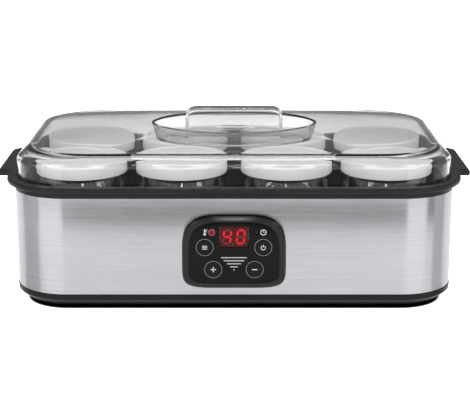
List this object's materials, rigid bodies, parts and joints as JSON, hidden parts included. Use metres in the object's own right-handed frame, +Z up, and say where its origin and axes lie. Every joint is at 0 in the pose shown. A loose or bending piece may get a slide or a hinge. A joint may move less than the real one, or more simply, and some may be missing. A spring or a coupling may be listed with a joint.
{
  "type": "yogurt maker",
  "caption": "Countertop yogurt maker: brushed steel body, black rim and base, lidded glass jars in a heated basin, clear domed cover with a grip, button panel with a display.",
  "frame": {"origin": "middle of the standing surface under the body", "axes": "+X to the right along the length, +Y to the back, +Z up; the control panel faces -Y"},
  "size_m": [0.387, 0.2186, 0.1454],
  "materials": {
    "brushed_steel": "horizontally brushed stainless steel",
    "black_basin_plastic": "black satin moulded plastic",
    "black_base_plastic": "black satin moulded plastic",
    "foot_rubber": "black rubber",
    "screw_metal": "plated screw",
    "spreader_aluminium": "bare sheet",
    "heater_silicone": "red silicone sleeve",
    "fuse_case": "bare metal case",
    "sensor_case": "bare metal case",
    "gloss_black_plastic": "gloss black",
    "panel_face_gloss": "gloss black window film",
    "button_plastic": "satin black with a light ring",
    "display_lens": "dark red filter",
    "led_lens": "tinted lens",
    "switch_case": "moulded",
    "control_laminate": "green solder mask",
    "power_laminate": "bare phenolic board",
    "transformer_core": "taped winding and laminated core",
    "relay_case": "blue case",
    "capacitor_sleeve": "dark sleeve",
    "terminal_nylon": "natural nylon",
    "gland_rubber": "black rubber",
    "ribbon_grey": "grey flat cable",
    "lead_silicone": "pale silicone sleeve",
    "clear_cover": "clear moulded plastic",
    "jar_glass": "clear pressed glass",
    "white_lid_plastic": "white satin plastic"
  },
  "bodies": {
    "base_unit": {"outer_shell": "brushed_steel", "inner_basin": "black_basin_plastic", "base_pan": "black_base_plastic", "heat_spreader": "spreader_aluminium", "heating_wire": "heater_silicone", "thermal_fuse": "fuse_case", "temperature_sensor": "sensor_case", "control_housing": "gloss_black_plastic", "control_face": "panel_face_gloss", "display_module": "display_lens", "temperature_led": "led_lens", "timer_led": "led_lens", "control_board": "control_laminate", "power_board": "power_laminate", "transformer": "transformer_core", "relay": "relay_case", "capacitor": "capacitor_sleeve", "terminal_block": "terminal_nylon", "cord_gland": "gland_rubber", "ribbon_cable": "ribbon_grey", "heater_lead_1": "lead_silicone", "heater_lead_2": "lead_silicone", "foot_1": "foot_rubber", "foot_2": "foot_rubber", "foot_3": "foot_rubber", "foot_4": "foot_rubber", "base_screw_1": "screw_metal", "base_screw_2": "screw_metal", "base_screw_3": "screw_metal", "base_screw_4": "screw_metal", "panel_screw_1": "screw_metal", "panel_screw_2": "screw_metal", "board_screw_1": "screw_metal", "board_screw_2": "screw_metal", "menu_button_switch": "switch_case", "power_button_switch": "switch_case", "plus_button_switch": "switch_case", "minus_button_switch": "switch_case"},
    "cover": {"cover": "clear_cover"},
    "jar_1": {"jar_1": "jar_glass"},
    "jar_2": {"jar_2": "jar_glass"},
    "jar_3": {"jar_3": "jar_glass"},
    "jar_4": {"jar_4": "jar_glass"},
    "jar_5": {"jar_5": "jar_glass"},
    "jar_6": {"jar_6": "jar_glass"},
    "jar_7": {"jar_7": "jar_glass"},
    "jar_8": {"jar_8": "jar_glass"},
    "jar_lid_1": {"jar_lid_1": "white_lid_plastic"},
    "jar_lid_2": {"jar_lid_2": "white_lid_plastic"},
    "jar_lid_3": {"jar_lid_3": "white_lid_plastic"},
    "jar_lid_4": {"jar_lid_4": "white_lid_plastic"},
    "jar_lid_5": {"jar_lid_5": "white_lid_plastic"},
    "jar_lid_6": {"jar_lid_6": "white_lid_plastic"},
    "jar_lid_7": {"jar_lid_7": "white_lid_plastic"},
    "jar_lid_8": {"jar_lid_8": "white_lid_plastic"},
    "menu_button": {"menu_button": "button_plastic"},
    "power_button": {"power_button": "button_plastic"},
    "plus_button": {"plus_button": "button_plastic"},
    "minus_button": {"minus_button": "button_plastic"}
  },
  "joints": [
    {"name": "cover_lift", "type": "slide", "parent": "base_unit", "child": "cover", "axis": [0, 0, 1], "range_m": [0, 0.25]},
    {"name": "jar_1_lift", "type": "slide", "parent": "base_unit", "child": "jar_1", "axis": [0, 0, 1], "range_m": [0, 0.09]},
    {"name": "jar_2_lift", "type": "slide", "parent": "base_unit", "child": "jar_2", "axis": [0, 0, 1], "range_m": [0, 0.09]},
    {"name": "jar_3_lift", "type": "slide", "parent": "base_unit", "child": "jar_3", "axis": [0, 0, 1], "range_m": [0, 0.09]},
    {"name": "jar_4_lift", "type": "slide", "parent": "base_unit", "child": "jar_4", "axis": [0, 0, 1], "range_m": [0, 0.09]},
    {"name": "jar_5_lift", "type": "slide", "parent": "base_unit", "child": "jar_5", "axis": [0, 0, 1], "range_m": [0, 0.09]},
    {"name": "jar_6_lift", "type": "slide", "parent": "base_unit", "child": "jar_6", "axis": [0, 0, 1], "range_m": [0, 0.09]},
    {"name": "jar_7_lift", "type": "slide", "parent": "base_unit", "child": "jar_7", "axis": [0, 0, 1], "range_m": [0, 0.09]},
    {"name": "jar_8_lift", "type": "slide", "parent": "base_unit", "child": "jar_8", "axis": [0, 0, 1], "range_m": [0, 0.09]},
    {"name": "jar_lid_1_lift", "type": "slide", "parent": "jar_1", "child": "jar_lid_1", "axis": [0, 0, 1], "range_m": [0, 0.04]},
    {"name": "jar_lid_2_lift", "type": "slide", "parent": "jar_2", "child": "jar_lid_2", "axis": [0, 0, 1], "range_m": [0, 0.04]},
    {"name": "jar_lid_3_lift", "type": "slide", "parent": "jar_3", "child": "jar_lid_3", "axis": [0, 0, 1], "range_m": [0, 0.04]},
    {"name": "jar_lid_4_lift", "type": "slide", "parent": "jar_4", "child": "jar_lid_4", "axis": [0, 0, 1], "range_m": [0, 0.04]},
    {"name": "jar_lid_5_lift", "type": "slide", "parent": "jar_5", "child": "jar_lid_5", "axis": [0, 0, 1], "range_m": [0, 0.04]},
    {"name": "jar_lid_6_lift", "type": "slide", "parent": "jar_6", "child": "jar_lid_6", "axis": [0, 0, 1], "range_m": [0, 0.04]},
    {"name": "jar_lid_7_lift", "type": "slide", "parent": "jar_7", "child": "jar_lid_7", "axis": [0, 0, 1], "range_m": [0, 0.04]},
    {"name": "jar_lid_8_lift", "type": "slide", "parent": "jar_8", "child": "jar_lid_8", "axis": [0, 0, 1], "range_m": [0, 0.04]},
    {"name": "menu_button_press", "type": "slide", "parent": "base_unit", "child": "menu_button", "axis": [0, 1, 0], "range_m": [0, 0.0008], "stiffness_N_per_m": 500},
    {"name": "power_button_press", "type": "slide", "parent": "base_unit", "child": "power_button", "axis": [0, 1, 0], "range_m": [0, 0.0008], "stiffness_N_per_m": 500},
    {"name": "plus_button_press", "type": "slide", "parent": "base_unit", "child": "plus_button", "axis": [0, 1, 0], "range_m": [0, 0.0008], "stiffness_N_per_m": 500},
    {"name": "minus_button_press", "type": "slide", "parent": "base_unit", "child": "minus_button", "axis": [0, 1, 0], "range_m": [0, 0.0008], "stiffness_N_per_m": 500}
  ],
  "couplings": [
    {"joint": "jar_1_lift", "follows": "cover_lift", "ratio": 0.34},
    {"joint": "jar_2_lift", "follows": "cover_lift", "ratio": 0.34},
    {"joint": "jar_3_lift", "follows": "cover_lift", "ratio": 0.34},
    {"joint": "jar_4_lift", "follows": "cover_lift", "ratio": 0.34},
    {"joint": "jar_5_lift", "follows": "cover_lift", "ratio": 0.34},
    {"joint": "jar_6_lift", "follows": "cover_lift", "ratio": 0.34},
    {"joint": "jar_7_lift", "follows": "cover_lift", "ratio": 0.34},
    {"joint": "jar_8_lift", "follows": "cover_lift", "ratio": 0.34},
    {"joint": "jar_lid_1_lift", "follows": "cover_lift", "ratio": 0.14},
    {"joint": "jar_lid_2_lift", "follows": "cover_lift", "ratio": 0.14},
    {"joint": "jar_lid_3_lift", "follows": "cover_lift", "ratio": 0.14},
    {"joint": "jar_lid_4_lift", "follows": "cover_lift", "ratio": 0.14},
    {"joint": "jar_lid_5_lift", "follows": "cover_lift", "ratio": 0.14},
    {"joint": "jar_lid_6_lift", "follows": "cover_lift", "ratio": 0.14},
    {"joint": "jar_lid_7_lift", "follows": "cover_lift", "ratio": 0.14},
    {"joint": "jar_lid_8_lift", "follows": "cover_lift", "ratio": 0.14}
  ]
}
